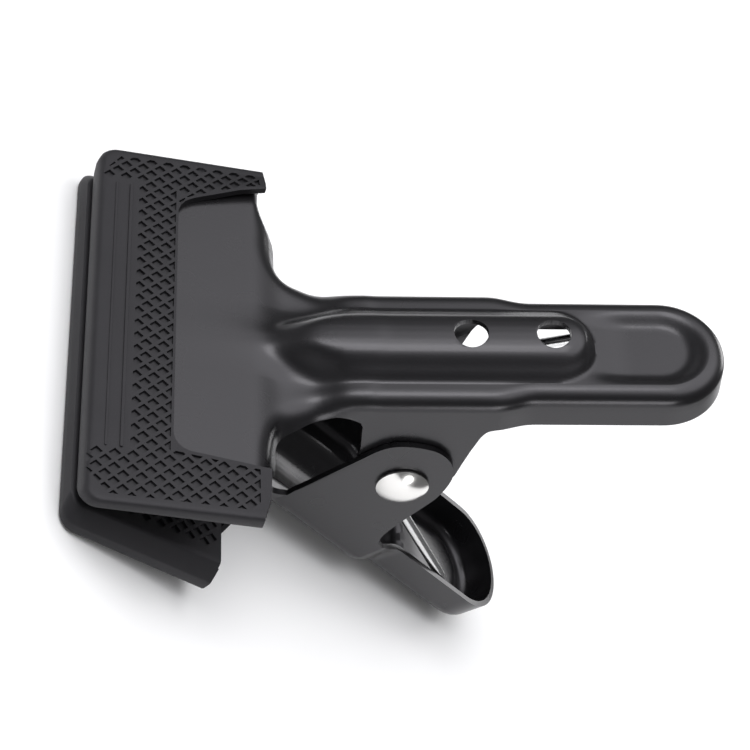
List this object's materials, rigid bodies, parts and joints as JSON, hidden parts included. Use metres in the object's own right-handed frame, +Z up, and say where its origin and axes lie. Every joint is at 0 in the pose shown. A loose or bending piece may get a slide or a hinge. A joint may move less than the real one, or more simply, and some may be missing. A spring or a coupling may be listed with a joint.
{
  "type": "spring clamp",
  "caption": "Wide-jaw spring clamp with black pressed-steel arms, ribbed handles, rubber jaw pads and a torsion spring round a rivet.",
  "frame": {"origin": "centre of the underside of the clamp's bounding box, with the closed clamp lying on the floor", "axes": "+X along the floor from the jaws to the handle ends, +Y along the rivet away from its domed head, +Z up"},
  "size_m": [0.1594, 0.106, 0.1178],
  "materials": {
    "black_coat": "satin",
    "pad_rubber": "matte",
    "bright_plating": "polished",
    "spring_wire": "polished"
  },
  "bodies": {
    "lower_arm": {"lower_arm": "black_coat", "lower_jaw_pad": "pad_rubber", "pivot_rivet": "bright_plating", "torsion_spring": "spring_wire"},
    "upper_arm": {"upper_arm": "black_coat", "upper_jaw_pad": "pad_rubber"}
  },
  "joints": [
    {"name": "jaw_pivot", "type": "hinge", "parent": "lower_arm", "child": "upper_arm", "pos_m": [0.00285, 0, 0.03974], "axis": [0, 1, 0], "range_deg": [0, 45], "stiffness_Nm_per_rad": 3, "springref_deg": -51.57, "deforming": ["torsion_spring"]}
  ]
}
